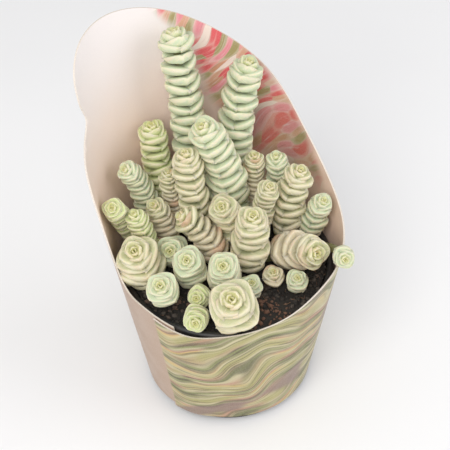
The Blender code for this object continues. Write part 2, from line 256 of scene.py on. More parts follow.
class StemSettings(bpy.types.PropertyGroup):
    """Sizes of the stalks and of the leaves that are stacked on them."""

    reach_gain: share_setting("Leaf gain", "Leaf reach as a share of the reach of the stem's solid", 1.04)
    leaf_spacing: share_setting("Leaf spacing", "Height of a leaf pair as a share of the leaf's reach", 0.56)
    leaf_width: share_setting("Leaf width", "Width of a leaf as a share of its natural width", 0.92)
    plumpness: share_setting("Plumpness", "Thickness of a leaf as a share of its natural thickness", 1.12)
    leaf_rise: angle_setting("Leaf rise", "Rise of a full-grown leaf from the level", 12.0)
    crown_rise: angle_setting("Crown rise", "Rise of the youngest leaves", 64.0)
    crown_pairs: IntProperty(name="Crown pairs", description="Young pairs in the crown", default=7, min=2)
    stalk_radius: length_setting("Stalk radius", "Radius of the stalk", 1.6 * MM)
    stalk_depth: length_setting("Stalk depth", "Depth of the stalk in the soil", 6.0 * MM)
    seed: IntProperty(name="Seed", description="Seed of the differences between leaves", default=3, min=0)


class LeafColours(bpy.types.PropertyGroup):
    """Colours of the variegated leaves."""

    mint: colour_setting("Mint", "Leaf green of the mint stems", (0.570, 0.640, 0.440))
    cream: colour_setting("Cream", "Leaf green of the cream stems", (0.500, 0.510, 0.300))
    lime: colour_setting("Lime", "Leaf green of the lime stems", (0.560, 0.620, 0.310))
    blush: colour_setting("Blush", "Leaf colour of the pinkish stems", (0.640, 0.570, 0.420))
    heart: colour_setting("Heart", "Colour of the youngest leaves", (0.560, 0.530, 0.185))
    margin: colour_setting("Margin", "Colour of the pale leaf margins", (0.770, 0.705, 0.530))
    flush: colour_setting("Flush", "Colour of the pink breath on the margins", (0.780, 0.560, 0.420))
    old: colour_setting("Old leaves", "Colour that the lowest leaves turn to", (0.560, 0.520, 0.470))
    dry: colour_setting("Dry leaves", "Colour of the few dried leaf tips", (0.500, 0.230, 0.130))
    # Groove is painted shade in the grooves between the pairs and on the leaves' undersides, and also the
    # real green of the pore specks and the stalk's mottle.
    groove_shade_and_specks: colour_setting("Groove", "Colour in the grooves between the pairs", (0.170, 0.210, 0.090))
    stalk: colour_setting("Stalk", "Colour of the bare stalk", (0.20, 0.17, 0.08))


class StageSettings(bpy.types.PropertyGroup):
    """Camera, lights and floor."""

    lens: FloatProperty(name="Lens", description="Focal length on a 36 mm sensor, in mm", default=108.0,
                        min=10.0)
    floor: colour_setting("Floor", "Colour of the floor", (0.90, 0.90, 0.91))
    sky: FloatProperty(name="Sky", description="Strength of the light from all round", default=0.66, min=0.0)
    key: FloatProperty(name="Key light", description="Power of the large soft light", default=4.6, min=0.0,
                       unit="POWER")
    fill: FloatProperty(name="Fill light", description="Power of the soft light from the right", default=3.0,
                        min=0.0, unit="POWER")


class PlantSettings(bpy.types.PropertyGroup):
    """All the settings of the potted plant."""

    pot: PointerProperty(type=PotSettings)
    soil: PointerProperty(type=SoilSettings)
    sleeve: PointerProperty(type=SleeveSettings)
    stems: PointerProperty(type=StemSettings)
    leaves: PointerProperty(type=LeafColours)
    stage: PointerProperty(type=StageSettings)


# Node trees

class NodeNet:
    """Adds nodes to a tree and joins them, so that a tree reads as a list of steps."""

    def __init__(self, tree, material=None):
        self.tree = tree
        self.material = material

    def feed(self, socket, value):
        if isinstance(value, bpy.types.NodeSocket):
            self.tree.links.new(value, socket)
        elif socket.type == "RGBA":
            socket.default_value = (*value, 1.0)
        else:
            socket.default_value = value

    def add(self, kind, inputs=None, **settings):
        node = self.tree.nodes.new(kind)
        for name, value in settings.items():
            setattr(node, name, value)
        for key, value in (inputs or {}).items():
            self.feed(node.inputs[key], value)
        return node

    def out(self, kind, inputs=None, **settings):
        """The first output of a new node."""
        return self.add(kind, inputs, **settings).outputs[0]

    def math(self, operation, *values):
        return self.out("ShaderNodeMath", dict(enumerate(values)), operation=operation)

    def times(self, first, *others):
        for other in others:
            first = self.math("MULTIPLY", first, other)
        return first

    def plus(self, first, second):
        return self.math("ADD", first, second)

    def minus(self, first, second):
        return self.math("SUBTRACT", first, second)

    def over(self, first, second):
        return self.math("DIVIDE", first, second)

    def line(self, value, slope, start):
        """A slope times the value, and a start added."""
        return self.math("MULTIPLY_ADD", value, slope, start)

    def larger(self, first, second):
        return self.math("MAXIMUM", first, second)

    def vector(self, x, y, z):
        return self.out("ShaderNodeCombineXYZ", {"X": x, "Y": y, "Z": z})

    def split(self, vector):
        return self.add("ShaderNodeSeparateXYZ", {0: vector}).outputs

    def ease(self, value, low, high, start=0.0, end=1.0):
        inputs = {"Value": value, "From Min": low, "From Max": high, "To Min": start, "To Max": end}
        return self.out("ShaderNodeMapRange", inputs, interpolation_type="SMOOTHSTEP")

    def blend(self, share, first, second):
        return self.add("ShaderNodeMix", {0: share, 6: first, 7: second}, data_type="RGBA").outputs[2]

    def fade(self, value, low, high, first, second, share=1.0):
        """Blends a share of the second colour in, as a value goes from low to high."""
        return self.blend(self.ease(value, low, high, 0.0, share), first, second)

    def noise(self, place, scale, detail, roughness=0.55):
        inputs = {"Vector": place, "Scale": scale, "Detail": detail, "Roughness": roughness}
        return self.out("ShaderNodeTexNoise", inputs)

    def stretched(self, first, second, depth, scale, detail):
        """Noise on a plane that is stretched by a gain of its own each way."""
        return self.noise(self.vector(self.times(*first), self.times(*second), depth), scale, detail)

    def ramp(self, value, stops, interpolation):
        node = self.add("ShaderNodeValToRGB", {0: value})
        node.color_ramp.interpolation = interpolation
        while len(node.color_ramp.elements) < len(stops):
            node.color_ramp.elements.new(1.0)
        for element, (position, colour) in zip(node.color_ramp.elements, stops):
            element.position = position
            element.color = (*colour, 1.0)
        return node.outputs[0]

    def attribute(self, name, output="Fac"):
        return self.add("ShaderNodeAttribute", attribute_name=name).outputs[output]

    def random(self, low, high, ident, seed):
        inputs = {2: low, 3: high, "ID": ident, "Seed": seed}
        return self.add("FunctionNodeRandomValue", inputs, data_type="FLOAT").outputs[1]


def darker(colour, share):
    return [part * share for part in colour]


def new_material(name):
    material = bpy.data.materials.new(name)
    material.use_nodes = True
    net = NodeNet(material.node_tree, material)
    return net, net.add("ShaderNodeTexCoord").outputs["Object"]


def finish(net, colour, roughness, height, distance, strength, others=None):
    """Joins a material's colour, roughness and bump to its shader, and gives the material."""
    bump = net.out("ShaderNodeBump", {"Height": height, "Distance": distance, "Strength": strength})
    values = {"Base Color": colour, "Roughness": roughness, "Normal": bump, **(others or {})}
    for name, value in values.items():
        net.feed(net.tree.nodes["Principled BSDF"].inputs[name], value)
    return net.material


def open_tree(name, sockets):
    """A new geometry tree with its named inputs, listed by kind, and one geometry output."""
    tree = bpy.data.node_groups.new(name, "GeometryNodeTree")
    tree.interface.new_socket(name="Geometry", in_out="INPUT", socket_type="NodeSocketGeometry")
    for kind, labels in sockets.items():
        for label in labels:
            tree.interface.new_socket(name=label, in_out="INPUT", socket_type="NodeSocket" + kind)
    tree.interface.new_socket(name="Geometry", in_out="OUTPUT", socket_type="NodeSocketGeometry")
    net = NodeNet(tree)
    return tree, net, net.add("NodeGroupInput").outputs


def close_tree(net, geometry, material):
    """Ends a geometry tree: real faces, and the material on them."""
    smooth = net.out("GeometryNodeSetShadeSmooth", {"Geometry": geometry})
    real = net.out("GeometryNodeRealizeInstances", {"Geometry": smooth})
    dressed = net.out("GeometryNodeSetMaterial", {"Geometry": real, "Material": material})
    net.add("NodeGroupOutput", {0: dressed})


def store(net, geometry, name, value):
    inputs = {"Geometry": geometry, "Name": name, "Value": value}
    return net.out("GeometryNodeStoreNamedAttribute", inputs, data_type="FLOAT", domain="POINT")


def copies(net, points, shape, rotation, scale):
    """Copies of an object's shape on points."""
    geometry = net.add("GeometryNodeObjectInfo", {"Object": shape}).outputs["Geometry"]
    inputs = {"Points": points, "Instance": geometry, "Rotation": rotation, "Scale": scale}
    return net.out("GeometryNodeInstanceOnPoints", inputs)


def joined(net, parts):
    join = net.add("GeometryNodeJoinGeometry")
    for part in parts:
        net.feed(join.inputs[0], part)
    return join.outputs[0]


# Mesh helpers

def add_object(name, data):
    obj = bpy.data.objects.new(name, data)
    bpy.context.scene.collection.objects.link(obj)
    return obj


def add_built(name, builder, smooth=True, closed=True):
    """An object of the builder's faces, which point outwards on a closed shape."""
    if closed:
        bmesh.ops.recalc_face_normals(builder, faces=builder.faces)
    for face in builder.faces:
        face.smooth = smooth
    mesh = bpy.data.meshes.new(name)
    builder.to_mesh(mesh)
    builder.free()
    return add_object(name, mesh)


def ring_points(radius, height, sides):
    turn = 2.0 * math.pi / sides
    return [Vector((radius * math.cos(turn * i), radius * math.sin(turn * i), height)) for i in range(sides)]


def add_ring(builder, points):
    return [builder.verts.new(point) for point in points]


def bridge(builder, rings):
    """Joins each ring of points to the next with four-sided faces."""
    for lower, upper in zip(rings, rings[1:]):
        sides = len(lower)
        for i in range(sides):
            j = (i + 1) % sides
            builder.faces.new((lower[i], lower[j], upper[j], upper[i]))


def fan(builder, ring, centre):
    sides = len(ring)
    for i in range(sides):
        builder.faces.new((ring[i], ring[(i + 1) % sides], centre))


def lathe(builder, outline, sides):
    """Turns an open outline of radius and height round the Z axis and closes both ends on the axis."""
    rings = [add_ring(builder, ring_points(radius, height, sides)) for radius, height in outline]
    bridge(builder, rings)
    for end in (0, -1):
        fan(builder, rings[end], builder.verts.new((0.0, 0.0, outline[end][1])))


def rounded(outline, radius, steps=3):
    """Rounds each inner corner of an open outline with a short curve."""
    points = [outline[0]]
    for before, corner, after in zip(outline, outline[1:], outline[2:]):
        before, corner, after = Vector(before), Vector(corner), Vector(after)
        back = min(radius, 0.45 * (before - corner).length)
        ahead = min(radius, 0.45 * (after - corner).length)
        start = corner + (before - corner).normalized() * back
        end = corner + (after - corner).normalized() * ahead
        for k in range(steps + 1):
            t = k / steps
            points.append(tuple(start * (1 - t) ** 2 + corner * 2 * t * (1 - t) + end * t * t))
    points.append(outline[-1])
    return points


def plain_mesh(obj):
    """Puts the evaluated result of an object's modifiers in its mesh and removes the modifiers."""
    bpy.context.view_layer.update()
    depsgraph = bpy.context.evaluated_depsgraph_get()
    result = bpy.data.meshes.new_from_object(obj.evaluated_get(depsgraph), depsgraph=depsgraph)
    result.name = obj.name
    obj.modifiers.clear()
    obj.data = result


def grow(obj, label, tree, settings, values):
    """Runs a geometry tree on an object and keeps what it makes as a plain mesh.

    An input takes its value from the values given, or else from the setting of the same name.
    """
    modifier = obj.modifiers.new(label, "NODES")
    modifier.node_group = tree
    for item in tree.interface.items_tree:
        if item.in_out == "INPUT" and item.name in values:
            modifier[item.identifier] = values[item.name]
        elif item.in_out == "INPUT" and item.name != "Geometry":
            modifier[item.identifier] = getattr(settings, item.name.lower().replace(" ", "_"))
    plain_mesh(obj)


def remove(*objects):
    for obj in objects:
        bpy.data.objects.remove(obj, do_unlink=True)


def settle(obj, node):
    """The finished piece rides on the plant's one body and stands for its node."""
    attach(obj, "root")
    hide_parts(node)


# Pot

def pot_material(settings):
    net, place = new_material("moulded pot plastic")
    patches = net.noise(place, 70.0, 4.0)
    rim = net.ease(net.split(place)["Z"], POT_HEIGHT - DUSTY_RIM, POT_HEIGHT)
    dust = net.times(net.ease(patches, 0.45, 0.75), net.line(rim, 0.5, 0.2))
    colour = net.blend(dust, settings.plastic, settings.dust)
    return finish(net, colour, net.line(patches, 0.35, 0.28), net.noise(place, 1800.0, 4.0), 0.06 * MM, 0.6)


def build_pot(settings):
    wall_top = POT_HEIGHT - POT_LIP_DEPTH
    outline = [
        (POT_FOOT_RADIUS - 1.0 * MM, 0.0),
        (POT_FOOT_RADIUS, 0.0),
        (POT_SHOULDER_RADIUS, wall_top),
        (POT_LIP_RADIUS - 0.6 * MM, wall_top + 0.4 * MM),
        (POT_LIP_RADIUS, wall_top + 1.4 * MM),
        (POT_LIP_RADIUS, POT_HEIGHT - 0.8 * MM),
        (POT_LIP_RADIUS - 0.8 * MM, POT_HEIGHT),
        (POT_LIP_RADIUS - POT_WALL - 1.0 * MM, POT_HEIGHT),
        (POT_SHOULDER_RADIUS - POT_WALL, wall_top - 0.5 * MM),
        (POT_FOOT_RADIUS - POT_WALL, POT_FLOOR),
        (POT_FOOT_RADIUS - POT_WALL - 1.0 * MM, POT_FLOOR),
    ]
    builder = bmesh.new()
    lathe(builder, rounded(outline, POT_ROUNDING), settings.sides)
    pot = add_built("pot_moulded", builder)

    holes = bmesh.new()
    for place in ring_points(DRAIN_CIRCLE, 0.5 * POT_FLOOR, DRAIN_HOLES):
        bmesh.ops.create_cone(holes, cap_ends=True, segments=32, radius1=DRAIN_RADIUS, radius2=DRAIN_RADIUS,
                              depth=4.0 * POT_FLOOR, matrix=Matrix.Translation(place))
    cutter = add_built("drain_holes", holes)
    cut = pot.modifiers.new("drain holes", "BOOLEAN")
    cut.solver = "EXACT"
    cut.object = cutter
    plain_mesh(pot)
    remove(cutter)
    builder = bmesh.new()
    builder.from_mesh(pot.data)
    for edge in builder.edges:
        if len(edge.link_faces) == 2 and edge.calc_face_angle(0.0) > SHARP_ANGLE:
            edge.smooth = False
    builder.to_mesh(pot.data)
    builder.free()
    pot.data.materials.clear()
    pot.data.materials.append(pot_material(settings))
    settle(pot, "pot")


# Soil

def soil_height(x, y):
    wave = math.sin(x / (5.2 * MM) + 0.6) * math.cos(y / (6.1 * MM))
    fine = 0.5 * math.sin(x / (2.9 * MM) - y / (3.7 * MM))
    fade = 1.0 - min(1.0, math.hypot(x, y) / (40.0 * MM)) ** 6
    return SOIL_LEVEL + SOIL_BUMP * fade * (0.6 * wave + 0.4 * fine)


def rough_soil_height(x, y):
    coarse = noise.noise(Vector((x, y, 0.011)) / (3.1 * MM))
    fine = noise.noise(Vector((x, y, 0.027)) / (1.1 * MM))
    edge = 1.0 - min(1.0, math.hypot(x, y) / (38.0 * MM)) ** 10
    return soil_height(x, y) + edge * (0.80 * MM * coarse + 0.40 * MM * fine)


def soil_material(settings):
    net, place = new_material("peat and bark soil")
    broad = net.noise(place, 60.0, 3.0)
    fine = net.noise(place, 900.0, 5.0, 0.7)
    shade = net.attribute("shade")
    bark_share = net.times(net.ease(broad, 0.56, 0.72), net.ease(shade, 0.40, 0.95, 0.0, 0.8))
    bark_share = net.larger(bark_share, net.ease(shade, 0.95, 0.99, 0.0, 0.7))
    way = net.add("ShaderNodeVectorMath", {0: place, 1: BARK_PATCH}, operation="DISTANCE").outputs["Value"]
    patch = net.times(net.ease(way, *BARK_PATCH_RADII), net.ease(shade, 0.05, 0.25))
    lump = net.fade(shade, 0.35, 0.95, settings.peat, settings.dry_peat)
    colour = net.blend(net.larger(bark_share, patch), lump, settings.bark)
    colour = net.fade(fine, 0.60, 0.80, colour, settings.bark)
    dry = net.fade(shade, 0.1, 0.9, settings.bark, settings.straw)
    colour = net.blend(net.attribute("fibre"), colour, dry)
    return finish(net, colour, net.ease(fine, 0.3, 0.7, 0.70, 0.98), fine, 0.5 * MM, 0.9)


def crumb_shape(name, seed):
    """A lump with twenty uneven faces, one unit wide."""
    builder = bmesh.new()
    bmesh.ops.create_icosphere(builder, subdivisions=1, radius=0.5)
    for vert in builder.verts:
        vert.co *= 1.0 + 0.55 * noise.noise(vert.co * 2.3 + Vector((seed * 5.1, 0.3, 0.7)))
        vert.co.z *= 0.75
    return add_built(name, builder, smooth=False)


def fibre_shape():
    """A thin bent fibre, one unit long, with four sides."""
    builder = bmesh.new()
    rings = []
    for k in range(6):
        t = k / 5
        centre = Vector((t - 0.5, 0.16 * math.sin(2.6 * t), 0.05 * math.sin(5.0 * t)))
        thick = 0.030 * (1.0 - 0.7 * abs(2.0 * t - 1.0) ** 2)
        sides = [Vector((0.0, thick * math.cos(a), thick * math.sin(a))) for a in (0.0, 1.57, 3.14, 4.71)]
        rings.append(add_ring(builder, [centre + side for side in sides]))
    bridge(builder, rings)
    builder.faces.new(rings[0])
    builder.faces.new(rings[-1])
    return add_built("fibre", builder)


def scatter(net, surface, top, density, shape, size, fibre, seed):
    """Lays copies of a shape on the soil's top. Crumbs turn any way, and fibres lie nearly level."""
    inputs = {"Mesh": surface, "Selection": top, "Density": density, "Seed": seed}
    points = net.out("GeometryNodeDistributePointsOnFaces", inputs, distribute_method="RANDOM")
    index = net.out("GeometryNodeInputIndex")
    points = store(net, points, "shade", net.random(0.0, 1.0, index, 11))
    points = store(net, points, "fibre", fibre)
    tilt = FIBRE_TILT if fibre else FULL_TURN
    spin = net.vector(net.random(-tilt, tilt, index, 21), net.random(-tilt, tilt, index, 22),
                      net.random(0.0, FULL_TURN, index, 23))
    small = net.math("POWER", net.random(0.0, 1.0, index, 24), 2.2)
    return copies(net, points, shape, spin, net.times(size, net.line(small, 0.72, 0.28)))


def soil_tree():
    tree, net, given = open_tree("Soil crumbs", {
        "Float": ("Crumbs", "Fibres", "Crumb size", "Fibre length"),
        "Object": ("Round crumb", "Sharp crumb", "Fibre"),
        "Int": ("Seed",),
        "Material": ("Soil material",),
    })
    ground = given["Geometry"]
    up = net.split(net.out("GeometryNodeInputNormal"))["Z"]
    level = net.split(net.out("GeometryNodeInputPosition"))["Z"]
    high = net.math("GREATER_THAN", level, SOIL_LEVEL - 3.0 * MM)
    top = net.times(high, net.math("GREATER_THAN", up, 0.5))
    half = net.times(given["Crumbs"], 0.5)
    kinds = (
        ("Round crumb", half, "Crumb size", 0.0),
        ("Sharp crumb", half, "Crumb size", 0.0),
        ("Fibre", given["Fibres"], "Fibre length", 1.0),
    )
    parts = [ground]
    for number, (shape, density, size, fibre) in enumerate(kinds):
        seed = net.plus(given["Seed"], float(number))
        parts.append(scatter(net, ground, top, density, given[shape], given[size], fibre, seed))
    close_tree(net, joined(net, reversed(parts)), given["Soil material"])
    return tree


def build_soil(settings):
    sides, ring_count = 96, 44
    slope = (POT_SHOULDER_RADIUS - POT_FOOT_RADIUS) / (POT_HEIGHT - POT_LIP_DEPTH)
    low = POT_FLOOR + SOIL_CLEARANCE
    foot = POT_FOOT_RADIUS - POT_WALL - 2.0 * SOIL_CLEARANCE
    shoulder_height = POT_HEIGHT - POT_LIP_DEPTH - 1.0 * MM
    shoulder = foot + slope * (shoulder_height - low)
    top = POT_LIP_RADIUS - POT_WALL - 1.8 * MM
    builder = bmesh.new()
    centre = builder.verts.new((0.0, 0.0, rough_soil_height(0.0, 0.0)))
    rings = []
    for k in range(1, ring_count + 1):
        points = ring_points(top * k / ring_count, 0.0, sides)
        rings.append(add_ring(builder, [(p.x, p.y, rough_soil_height(p.x, p.y)) for p in points]))
    for radius, height in ((shoulder, shoulder_height), (foot, low)):
        rings.append(add_ring(builder, ring_points(radius, height, sides)))
    fan(builder, rings[0], centre)
    bridge(builder, rings)
    fan(builder, rings[-1], builder.verts.new((0.0, 0.0, low)))
    soil = add_built("soil_peat", builder)

    shapes = {
        "Round crumb": crumb_shape("round_crumb", 1),
        "Sharp crumb": crumb_shape("sharp_crumb", 2),
        "Fibre": fibre_shape(),
    }
    values = {**shapes, "Soil material": soil_material(settings)}
    grow(soil, "crumbs and fibres", soil_tree(), settings, values)
    remove(*shapes.values())
    settle(soil, "soil")


# Sleeve: a flat cut card, rolled into a cone

def smooth_edge(steps=8):
    """The card's top edge as a smooth line through its marks."""
    marks = [Vector(mark) for mark in CARD_EDGE]
    points = []
    for before, start, end, after in zip(marks[:1] + marks, marks, marks[1:], marks[2:] + marks[-1:]):
        for k in range(steps):
            t = k / steps
            a = 2.0 * start
            b = (end - before) * t
            c = (2.0 * before - 5.0 * start + 4.0 * end - after) * t * t
            d = (3.0 * start - before - 3.0 * end + after) * t * t * t
            points.append(0.5 * (a + b + c + d))
    return points + marks[-1:]


def overlap_lift(angle):
    """How far the card stands out where it laps over its own start."""
    covered = SEAM_ANGLE + OVERLAP_ANGLE + 1.0
    settled = covered + OVERLAP_EASE
    ease = min(1.0, max(0.0, (settled - angle) / (settled - covered)))
    return (CARD_THICKNESS + CARD_GAP) * ease * ease * (3.0 - 2.0 * ease)


def roll(angle, height, inset):
    radius = SLEEVE_RADIUS_AT_FLOOR + SLEEVE_FLARE * height + overlap_lift(angle) - inset
    turn = math.radians(angle)
    return Vector((radius * math.cos(turn), radius * math.sin(turn), height))


def new_card(name):
    """A new card material, with the ways along the card and up it from its UV map."""
    net, place = new_material(name)
    arc, height, _ = net.split(net.out("ShaderNodeUVMap"))
    return net, place, arc, height


def card_base(net, place, settings, height, low_colour):
    """The print's soft fade from white at the top of the tag to another colour lower down."""
    level = net.plus(height, net.line(net.noise(place, 45.0, 3.0), 0.16, -0.08))
    return net.fade(level, 0.70, 1.36, low_colour, settings.white)


def finish_card(net, place, colour):
    fibres = net.noise(place, 2600.0, 4.0, 0.7)
    roughness = net.ease(net.noise(place, 120.0, 3.0), 0.3, 0.7, 0.36, 0.50)
    worn = net.fade(fibres, 0.35, 0.75, colour, WORN_CARD, 0.10)
    return finish(net, worn, roughness, fibres, 0.03 * MM, 0.5, {"Specular IOR Level": 0.42})


def outside_material(settings):
    """Soft ribbons of colour that run along the card, under broad mauve sweeps, with three inks darkened as
    painted shade.
    """
    net, place, arc, height = new_card("printed card outside")
    ripple = net.stretched((arc, 2.2), (height, 2.0), 0.0, 1.5, 1.0)
    swing = net.math("SINE", net.times(arc, 9.0))
    bend = net.plus(net.line(arc, -0.22, height), net.line(swing, 0.035, net.times(ripple, 0.36)))
    phase = net.over(bend, settings.ribbon * CARD_UV)
    tone = net.stretched((arc, 3.0), (phase, 0.9), 0.0, 1.4, 2.0)
    # Painted shade: butter, olive and salmon are darkened copies of their inks, for the outside's shaded,
    # downward-sloping face.
    butter, olive = darker(settings.butter, 0.68), darker(settings.olive, 0.62)
    salmon = darker(settings.salmon, 0.65)
    cool = [(0.00, MOSS), (0.18, butter), (0.30, olive), (0.37, BOTTLE), (0.43, BOTTLE), (0.50, olive),
            (0.66, butter), (0.84, PALE_MOSS), (1.00, MOSS)]
    warm = [(0.00, butter), (0.16, OCHRE), (0.26, salmon), (0.40, butter), (0.52, olive), (0.62, UMBER),
            (0.78, salmon), (1.00, butter)]
    turn = net.math("FRACT", phase)
    ribbons = net.fade(tone, 0.42, 0.62, net.ramp(turn, cool, "EASE"), net.ramp(turn, warm, "EASE"))
    hairs = net.stretched((arc, 5.0), (bend, 90.0), 0.0, 1.0, 2.0)
    ribbons = net.fade(hairs, 0.50, 0.75, ribbons, STRAW, 0.45)
    ribbons = net.fade(hairs, 0.50, 0.34, ribbons, DARK_OLIVE, 0.75)
    drift = net.line(arc, -0.9, net.times(height, 3.4))
    sweeps = net.noise(net.vector(net.times(arc, 1.5), drift, 7.0), 1.5, 1.5)
    printed = net.fade(sweeps, 0.53, 0.62, ribbons, settings.mauve, 0.85)
    shown = net.times(net.ease(arc, 0.002, 0.012), net.ease(arc, 2.20, 1.75))
    shown = net.times(shown, net.ease(net.plus(height, net.times(ripple, 0.2)), 1.10, 0.80))
    # The outside fades to the peach colour, darkened as painted shade.
    base = card_base(net, place, settings, height, settings.peach_in_painted_shade)
    return finish_card(net, place, net.blend(shown, base, printed))


def inside_material(settings):
    """White card with loose slanting dabs of colour on the tag's right part."""
    net, place, arc, height = new_card("printed card inside")
    ripple = net.stretched((arc, 2.6), (height, 2.6), 3.0, 1.5, 1.0)
    drift = net.times(ripple, 0.22)
    length_way = net.plus(net.line(arc, -0.66, drift), net.times(height, 0.75))
    cross_way = net.plus(net.line(arc, 0.75, drift), net.times(height, 0.66))
    dab_length = settings.dab * CARD_UV
    spot = net.vector(net.over(length_way, dab_length), net.over(cross_way, dab_length * DAB_WIDTH), 0.0)
    inputs = {"Vector": spot, "Scale": 1.0, "Randomness": 0.85}
    cells = net.add("ShaderNodeTexVoronoi", inputs, voronoi_dimensions="2D").outputs
    pick = net.out("ShaderNodeSeparateColor", {0: cells["Color"]})
    inks = [(0.00, settings.coral), (0.30, ROSE), (0.44, RUST), (0.56, DRAB), (0.70, SHELL_PINK),
            (0.80, settings.salmon)]
    dabs = net.ramp(pick, inks, "CONSTANT")
    hairs = net.stretched((length_way, 12.0), (cross_way, 110.0), 0.0, 1.0, 2.0)
    dabs = net.fade(hairs, 0.45, 0.25, dabs, WINE, 0.5)
    dabs = net.fade(hairs, 0.55, 0.75, dabs, settings.white, 0.5)
    dabs = net.fade(cells["Distance"], 0.34, 0.62, dabs, SAND, 0.35)
    dabs = net.fade(height, 1.12, 0.86, dabs, DARK_UMBER, 0.45)
    uneven = net.line(ripple, 0.16, -0.08)
    left = net.ease(net.plus(net.line(height, -0.45, arc), uneven), 1.05, 1.00)
    upper = net.ease(net.plus(net.line(arc, -1.35, height), uneven), -0.66, -0.74)
    shown = net.times(net.ease(height, 0.66, 0.80), net.times(left, upper))
    # The inside fades to the shell colour, brightened as painted light.
    base = card_base(net, place, settings, height, settings.shell_in_painted_light)
    return finish_card(net, place, net.blend(shown, base, dabs))


def edge_material(settings):
    net, place = new_material("cut card edge")
    layers = net.noise(place, 3200.0, 3.0)
    colour = net.fade(layers, 0.4, 0.7, settings.edge, DARK_CARD)
    return finish(net, colour, 0.8, layers, 0.05 * MM, 0.6)


def cut_lines(builder, axis, start, end, step):
    """Cuts the flat card across an axis at even steps, so that it can bend there."""
    normal = Vector((0.0, 0.0, 0.0))
    normal[axis] = 1.0
    place = start + step
    while place < end:
        geometry = builder.verts[:] + builder.edges[:] + builder.faces[:]
        bmesh.ops.bisect_plane(builder, geom=geometry, plane_co=normal * place, plane_no=normal)
        place += step


def build_sleeve(settings):
    last_angle = SEAM_ANGLE + 360.0 + OVERLAP_ANGLE
    top = [(p.x, p.y * MM) for p in smooth_edge()]
    outline = [(SEAM_ANGLE, SLEEVE_BOTTOM), (last_angle, SLEEVE_BOTTOM)] + top[::-1]
    builder = bmesh.new()
    builder.faces.new(add_ring(builder, [(angle * MM, height, 0.0) for angle, height in outline]))
    cut_lines(builder, 0, SEAM_ANGLE * MM, (last_angle - 0.5) * MM, CARD_STEP_ANGLE * MM)
    cut_lines(builder, 1, SLEEVE_BOTTOM, 140.0 * MM, CARD_STEP_HEIGHT)
    bmesh.ops.triangulate(builder, faces=[f for f in builder.faces if len(f.verts) > 4])

    outer = builder.verts[:]
    rims = [e for e in builder.edges if e.is_boundary]
    uv = builder.loops.layers.uv.new("card")
    inner = {v: builder.verts.new(v.co) for v in outer}
    for face in builder.faces[:]:
        back = builder.faces.new([inner[v] for v in reversed(face.verts)])
        back.material_index = 1
    for edge in rims:
        a, b = edge.verts
        strip = builder.faces.new((a, b, inner[b], inner[a]))
        strip.material_index = 2
        edge.smooth = False
    flat = {v: (v.co.x / MM, v.co.y) for v in outer}
    flat.update({inner[v]: flat[v] for v in outer})
    for face in builder.faces:
        for loop in face.loops:
            angle, height = flat[loop.vert]
            loop[uv].uv = ((angle - SEAM_ANGLE) * ARC_PER_DEGREE * CARD_UV, height * CARD_UV)
    for v in outer:
        inner[v].co = roll(*flat[v], CARD_THICKNESS)
        v.co = roll(*flat[v], 0.0)
    for edge in builder.edges:
        if len({face.material_index for face in edge.link_faces}) > 1:
            edge.smooth = False
    sleeve = add_built("sleeve_card", builder)
    for material in (outside_material(settings), inside_material(settings), edge_material(settings)):
        sleeve.data.materials.append(material)
    settle(sleeve, "sleeve")


# Leaves and stems

def leaf_shape():
    """One plump clasping leaf, one unit long from the stem's axis to its tip."""
    sides = 8
    builder = bmesh.new()
    rings = []
    spots = []
    for x in [-0.12] + [math.sin(math.radians(90.0 * k / 6)) for k in range(1, 6)]:
        outward = max(x, 0.0)
        half_width = 0.97 * (1.0 - outward ** 1.6) ** 0.60
        taper = (1.0 - x ** 5.0) ** 0.5
        under = 0.34 * taper * (0.80 + 0.20 * min(1.0, outward / 0.45))
        over = 0.14 * taper * (0.60 + 0.40 * min(1.0, outward / 0.5))
        ring = []
        for i in range(sides):
            angle = 2.0 * math.pi * i / sides
            across = math.copysign(abs(math.cos(angle)) ** 0.70, math.cos(angle))
            rise = math.copysign(abs(math.sin(angle)) ** 0.70, math.sin(angle))
            lift = 0.09 * x * x + 0.11 * across * across
            ring.append((x, half_width * across, (over if rise > 0.0 else under) * rise + lift))
            spots.append((outward, across, rise))
        rings.append(add_ring(builder, ring))
    bridge(builder, rings)
    fan(builder, rings[-1], builder.verts.new((1.0, 0.0, 0.11)))
    spots.append((1.0, 0.0, 0.0))
    builder.faces.new(rings[0])
    leaf = add_built("leaf_shape", builder)
    spot = leaf.data.attributes.new("leaf_spot", "FLOAT_VECTOR", "POINT")
    for item, value in zip(spot.data, spots):
        item.vector = value
    return leaf


def stalk_pieces(net, given, centre_line, length):
    """The bare stalk along the centre line to near its top, and its straight foot in the soil."""
    span = {"Curve": centre_line, 4: 0.0, 5: net.times(length, 0.93)}
    trimmed = net.out("GeometryNodeTrimCurve", span, mode="LENGTH")
    deep = net.vector(0.0, 0.0, net.times(given["Stalk depth"], -1.0))
    bottom = net.out("ShaderNodeVectorMath", {0: given["Foot"], 1: deep})
    top = net.out("ShaderNodeVectorMath", {0: given["Foot"], 1: (0.0, 0.0, 0.5 * MM)})
    peg = net.out("GeometryNodeCurvePrimitiveLine", {"Start": bottom, "End": top})
    circle = {"Resolution": 10, "Radius": given["Stalk radius"]}
    tubes = []
    for line in (trimmed, peg):
        profile = net.out("GeometryNodeCurvePrimitiveCircle", circle)
        inputs = {"Curve": line, "Profile Curve": profile, "Fill Caps": True}
        tubes.append(net.out("GeometryNodeCurveToMesh", inputs))
    return store(net, joined(net, tubes), "stalk", 1.0)


def shrunk_steps(net, count):
    """The sum of a count of steps: the first is 1.0, and each is CROWN_SHRINK of the one before."""
    return net.over(net.minus(1.0, net.math("POWER", CROWN_SHRINK, count)), 1.0 - CROWN_SHRINK)


def turned(net, rotation, x, y, z):
    """A rotation, turned on about its own axes."""
    further = net.out("FunctionNodeEulerToRotation", {0: net.vector(x, y, z)})
    return net.out("FunctionNodeRotateRotation", {0: rotation, 1: further}, rotation_space="LOCAL")


